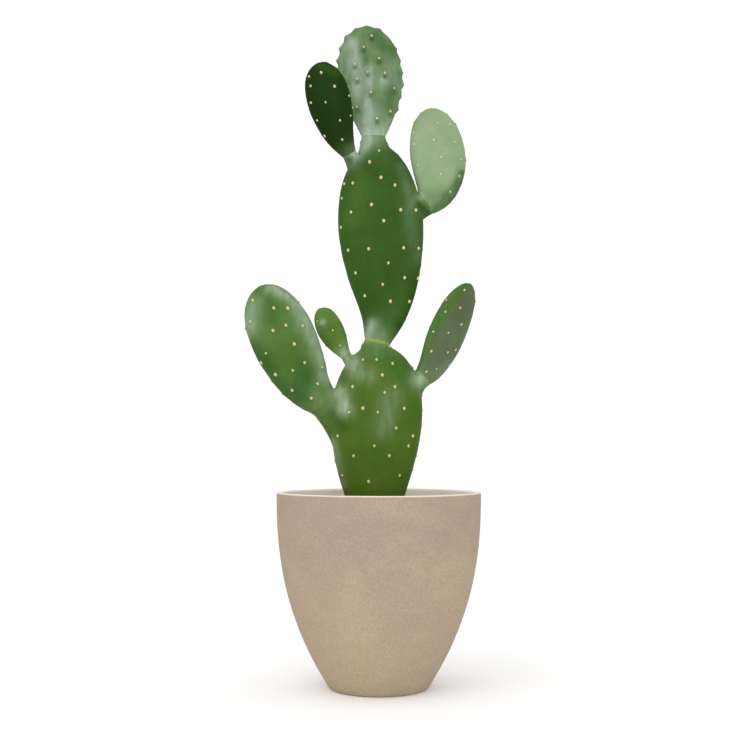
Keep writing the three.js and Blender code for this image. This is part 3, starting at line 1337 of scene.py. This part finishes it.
@dataclass(frozen=True)
class Roots:
    """The stump and side roots, which keep their CAD shape under the mix."""

    finish: EarthFinish
    node: str = "roots"

    def dress(self) -> None:
        """Gives the CAD node its bark."""
        node = frame["nodes"][self.node]
        node.data.materials.clear()
        node.data.materials.append(self.finish.material())
        LOG.info("%s: dressed", self.node)


# The studio


@dataclass(frozen=True)
class Studio:
    """A plain pale floor, soft lights and the camera."""

    camera_place: tuple[float, float, float] = (-5.5 * MM, -1.7, 0.351)
    camera_rise: float = 3.56  # degrees above level
    lens: float = 55.0
    floor_size: float = 30.0
    sky: float = 1.08  # the white surround's strength
    aim: tuple[float, float, float] = (0, 0, 0.5)  # what the lamps look at

    def build(self) -> None:
        """Sets the camera, the floor, the sky and the lamps."""
        self.set_camera()
        self.lay_floor()
        self.light()
        LOG.info("studio: ready")

    def set_camera(self) -> None:
        """Adds the camera, a little above the rim and tilted up."""
        data = bpy.data.cameras.new("view")
        data.lens = self.lens
        camera = bpy.data.objects.new("view", data)
        camera.location = self.camera_place
        camera.rotation_euler = (math.radians(90 + self.camera_rise), 0, 0)
        bpy.context.scene.collection.objects.link(camera)
        bpy.context.scene.camera = camera

    def lay_floor(self) -> None:
        """Adds the floor, a plain white plane."""
        bpy.ops.mesh.primitive_plane_add(size=self.floor_size)
        floor = named(bpy.context.object, "floor")
        graph = Graph("studio_floor")
        clouds = graph.ramp(graph.noise(0.3, 2), 0.3, 0.7)
        graph.coat(graph.mix(clouds, (0.93, 0.93, 0.93), (0.96, 0.96, 0.96)), 0.9, 0.1)
        floor.data.materials.append(graph.material)

    def light(self) -> None:
        """Adds the white surround, a large soft lamp from the upper left and a front fill."""
        world = bpy.data.worlds.new("studio_white")
        world.use_nodes = True
        background = world.node_tree.nodes["Background"]
        background.inputs["Color"].default_value = (1, 1, 1, 1)
        background.inputs["Strength"].default_value = self.sky
        bpy.context.scene.world = world
        self.lamp("key", place=(-1.4, -1.8, 2.2), size=2.0, power=14)
        self.lamp("fill", place=(0.3, -2.6, 0.6), size=1.4, power=18)
        bpy.context.scene.view_settings.view_transform = "Standard"

    def lamp(self, name: str, place: tuple[float, float, float], size: float, power: float) -> None:
        """Adds a square soft lamp that looks at the plant.

        Args:
            name: the lamp's name.
            place: where it hangs.
            size: the length of its side.
            power: its strength in watts.
        """
        data = bpy.data.lights.new(name, "AREA")
        data.size = size
        data.energy = power
        lamp = bpy.data.objects.new(name, data)
        lamp.location = place
        way = Vector(self.aim) - Vector(place)
        lamp.rotation_euler = way.to_track_quat("-Z", "Y").to_euler()
        bpy.context.scene.collection.objects.link(lamp)


# What this plant and its planter are

OLIVE = (66, 98, 14)


def skin(name: str, *seen: tuple[int, int, int], wax: float = 0.1) -> SkinFinish:
    """Makes a skin from its body, deep, fresh, bloom and older colours as they are seen; the bloom colour
    serves pale wax and painted sheen.
    """
    return SkinFinish(name, *(tone(*colour) for colour in seen), wax)


MATURE = skin("mature_skin", (67, 93, 12), (56, 84, 5), (44, 88, 3), (144, 162, 134), OLIVE, wax=0.05)
MIDDLE = skin("middle_skin", (43, 78, 12), (34, 66, 4), (84, 114, 40), (154, 170, 150), OLIVE, wax=0.03)
BUD = skin("bud_skin", (78, 116, 28), (60, 94, 16), (80, 126, 30), (172, 188, 164), OLIVE)
SPREADING = skin("spreading_skin", (72, 104, 40), (56, 90, 22), (32, 76, 0), (148, 166, 142), OLIVE)
YOUNG = skin(
    "young_skin", (86, 114, 58), (62, 94, 32), (38, 80, 4), (166, 178, 170), (120, 144, 100), wax=0.3
)
# The upper left pad: its green, darkened by painted shade where its face turns down and away from the
# light.
DARK_AND_SHADED = skin("dark_skin", (22, 48, 2), (16, 38, 0), (40, 72, 14), (84, 104, 70), (36, 68, 10), wax=0.0)
# The upper right pad: pale wax, with painted light where its face turns up.
PALE_AND_SKYLIT = skin(
    "pale_skin", (132, 150, 116), (114, 138, 96), (34, 76, 2), (160, 176, 154), (84, 112, 56), wax=0.16
)
# The lower right pad: grey-green, partly painted sheen on a face turned away.
GREY = skin("grey_skin", (80, 94, 64), (68, 84, 50), (54, 98, 10), (116, 130, 106), (80, 106, 52))

PADS = (
    Pad(
        "trunk_pad", "mature_skin", MATURE,
        rows=(
            (0.96, 0.67), (0.89, 0.44, 0.56), (0.87, 0.70), (0.81, 0.61), (0.75, 0.35, 0.72), (0.72, 0.63),
            (0.64, 0.44, 0.80), (0.62, 0.32, 0.57), (0.54, 0.73), (0.50, 0.22, 0.88), (0.45, 0.54, 0.84),
            (0.40, 0.36, 0.67), (0.30, 0.26, 0.76), (0.27, 0.49), (0.19, 0.36, 0.63),
        ),
        patches=patches(
            bloom=(
                (0.33, 0.88, 13, 0.85), (0.38, 0.82, 12, 0.35, 0.50, 0.80),
                (0.24, 0.72, 12, 1.0, 0.28, 0.64), (0.95, 0.80, 10, 0.8),
                (0.68, 0.70, 17, 0.28, 0.62, 0.54), (0.18, 0.47, 7, 0.4, 0.26, 0.25),
            ),
            fresh=((0.55, 0.94, 14, 1.2, 0.78, 0.82), (0.80, 0.88, 12, 0.5, 0.92, 0.60)),
            shade=((0.17, 0.61, 8, 0.5, 0.27, 0.54),),
            scar=((0.47, 0.985, 2.5, 0.7),),
        ),
    ),
    Pad(
        "middle_pad", "mature_skin", MIDDLE, parent="trunk_pad", neck_bloom=0.35, seam=0.6,
        rows=(
            (0.92, 0.45), (0.87, 0.35), (0.79, 0.47), (0.77, 0.17), (0.75, 0.62), (0.66, 0.37),
            (0.63, 0.15, 0.68, 0.84), (0.58, 0.50), (0.45, 0.12, 0.34, 0.71, 0.87), (0.38, 0.55),
            (0.34, 0.20), (0.31, 0.72, 0.86), (0.28, 0.49), (0.23, 0.30), (0.20, 0.57, 0.77),
        ),
        patches=patches(
            fresh=((0.16, 0.60, 17, 0.28, 0.22, 0.78),),
            bloom=(
                (0.20, 0.91, 11, 1.0, 0.30, 0.97), (0.34, 0.97, 9, 0.3), (0.68, 0.84, 8, 0.12, 0.80, 0.66),
                (0.76, 0.62, 11, 0.1, 0.86, 0.40), (0.38, 0.10, 8, 0.5, 0.32, 0.04),
            ),
            shade=(
                (0.88, 0.655, 7, 0.9, 0.97, 0.62), (0.66, 0.09, 10, 0.7), (0.10, 0.90, 7, 0.75, 0.13, 0.87),
            ),
        ),
    ),
    Pad(
        "top_pad", "young_skin", YOUNG, parent="middle_pad", neck_bloom=0.45, areole=0.75, mound=2.4 * MM,
        edge_share=0.85, hollow=1.2 * MM, edge_spacing=18 * MM,
        rows=(
            (0.90, 0.52), (0.79, 0.40), (0.69, 0.63), (0.63, 0.27), (0.56, 0.46, 0.72), (0.50, 0.30),
            (0.43, 0.86), (0.38, 0.51), (0.25, 0.30), (0.22, 0.80), (0.15, 0.60),
        ),
        patches=patches(
            fresh=(
                (0.60, 0.92, 12, 1.1, 0.80, 0.74), (0.90, 0.56, 10, 1.1, 0.78, 0.28),
                (0.42, 0.72, 5, 0.7, 0.42, 0.62), (0.12, 0.72, 7, 0.7, 0.12, 0.58),
                (0.34, 0.20, 8, 0.7, 0.42, 0.10), (0.60, 0.30, 8, 0.6, 0.64, 0.16),
            ),
            bloom=(
                (0.24, 0.84, 9, 0.5, 0.30, 0.36), (0.50, 0.60, 8, 0.4, 0.46, 0.14), (0.70, 0.50, 8, 0.3),
            ),
        ),
    ),
    Pad(
        "upper_left_pad", "dark_skin", DARK_AND_SHADED, parent="middle_pad", areole=0.8, edge_spacing=15 * MM,
        rows=(
            (0.87, 0.33), (0.83, 0.09), (0.73, 0.12, 0.59), (0.65, 0.09, 0.87), (0.56, 0.12, 0.41, 0.85),
            (0.44, 0.90), (0.38, 0.24, 0.39, 0.69), (0.18, 0.73), (0.11, 0.73),
        ),
        patches=patches(
            fresh=((0.30, 0.96, 7, 0.8, 0.62, 0.88),),
        ),
    ),
    Pad(
        "upper_right_pad", "pale_skin", PALE_AND_SKYLIT, parent="middle_pad", neck_bloom=0.15, areole=0.85,
        rows=(
            (0.84, 0.50, 0.71), (0.74, 0.08), (0.67, 0.42, 0.79), (0.63, 0.08), (0.51, 0.55, 0.90),
            (0.43, 0.14), (0.35, 0.53, 0.86), (0.20, 0.69), (0.07, 0.30),
        ),
        patches=patches(
            fresh=(
                (0.93, 0.36, 9, 1.6, 0.70, 0.14), (0.42, 0.04, 7, 1.4, 0.70, 0.10),
                (0.40, 0.14, 13, 0.55, 0.72, 0.16),
            ),
            shade=((0.96, 0.30, 4, 0.8, 0.74, 0.09),),
            bloom=((0.20, 0.14, 6, 0.6),),
        ),
    ),
    Pad(
        "lower_left_pad", "mature_skin", SPREADING, parent="trunk_pad", neck_bloom=0.25,
        rows=(
            (0.87, 0.10), (0.81, 0.33, 0.48), (0.71, 0.07), (0.68, 0.46, 0.64), (0.64, 0.32), (0.54, 0.55),
            (0.47, 0.24), (0.40, 0.18, 0.66), (0.37, 0.85), (0.34, 0.53), (0.31, 0.34), (0.24, 0.80),
            (0.19, 0.52), (0.13, 0.73),
        ),
        patches=patches(
            bloom=(
                (0.30, 0.97, 9, 0.7, 0.56, 0.86), (0.62, 0.80, 12, 0.6, 0.86, 0.42), (0.90, 0.30, 11, 0.9),
                (0.10, 0.84, 12, 0.5, 0.06, 0.66),
            ),
            fresh=(
                (0.30, 0.88, 10, 0.6, 0.32, 0.72), (0.66, 0.36, 14, 1.3, 0.60, 0.16),
                (0.12, 0.52, 11, 1.1, 0.50, 0.12),
            ),
        ),
    ),
    Pad(
        "bud_pad", "mature_skin", BUD, parent="trunk_pad", areole=0.7, edge_spacing=17 * MM,
        rows=((0.72, 0.10), (0.54, 0.52), (0.46, 0.14, 0.30), (0.25, 0.72)),
        patches=patches(
            bloom=((0.24, 0.70, 5, 0.7),),
        ),
    ),
    Pad(
        "lower_right_pad", "grey_skin", GREY, parent="trunk_pad", areole=0.85,
        rows=(
            (0.92, 0.80), (0.75, 0.73), (0.70, 0.49), (0.60, 0.75), (0.51, 0.30, 0.54), (0.33, 0.27, 0.54),
            (0.17, 0.36), (0.14, 0.20),
        ),
        patches=patches(
            # The fresh bands are painted light: the brighter green of the edge that faces forward.
            fresh=((0.07, 0.20, 7, 1.0, 0.46, 0.72), (0.46, 0.72, 7, 1.0, 0.82, 0.97)),
            bloom=((0.50, 0.10, 10, 0.5, 0.62, 0.20),),
        ),
    ),
)

WOOL = AreoleFinish("areole_wool", crown=tone(196, 184, 138), foot=tone(140, 122, 74))

STONE = StoneFinish(
    "cast_stone",
    low=tone(180, 162, 132),
    high=tone(158, 141, 126),
    blotch=tone(184, 168, 138),
    pale=tone(204, 190, 166),
    dark=tone(124, 107, 90),
    rim=tone(244, 236, 220),
    height=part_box("planter")[1].z,
)

POTTING_MIX = EarthFinish("potting_mix", tone(52, 40, 30), tone(82, 62, 44), 9 * MM)
ROOT_BARK = EarthFinish("root_bark", tone(168, 140, 102), tone(124, 98, 66), 7 * MM, 0.85, (1, 1, 4))

BARK_CHIP = EarthFinish("bark_chip", tone(112, 78, 48), tone(74, 48, 30), 4 * MM)
GRIT = EarthFinish("grit", tone(150, 140, 124), tone(108, 98, 84), 2 * MM)
PERLITE = EarthFinish("perlite", tone(232, 228, 216), tone(206, 200, 186), 1.5 * MM)

BITS = (
    BitSort(Bit.BARK, (5 * MM, 3 * MM, 1.4 * MM), 110, BARK_CHIP),
    BitSort(Bit.GRIT, (2.2 * MM, 1.9 * MM, 1.5 * MM), 150, GRIT),
    BitSort(Bit.PERLITE, (1.7 * MM, 1.6 * MM, 1.4 * MM), 90, PERLITE),
)


def main() -> None:
    """Builds the studio and the object."""
    logging.basicConfig(level=logging.INFO, format="%(message)s")
    Studio().build()
    Cactus(PADS, Areole(), WOOL).build()
    Planter(STONE).build()
    PottingMix(POTTING_MIX, BITS).build()
    Roots(ROOT_BARK).dress()


if __name__ == "__main__":
    main()
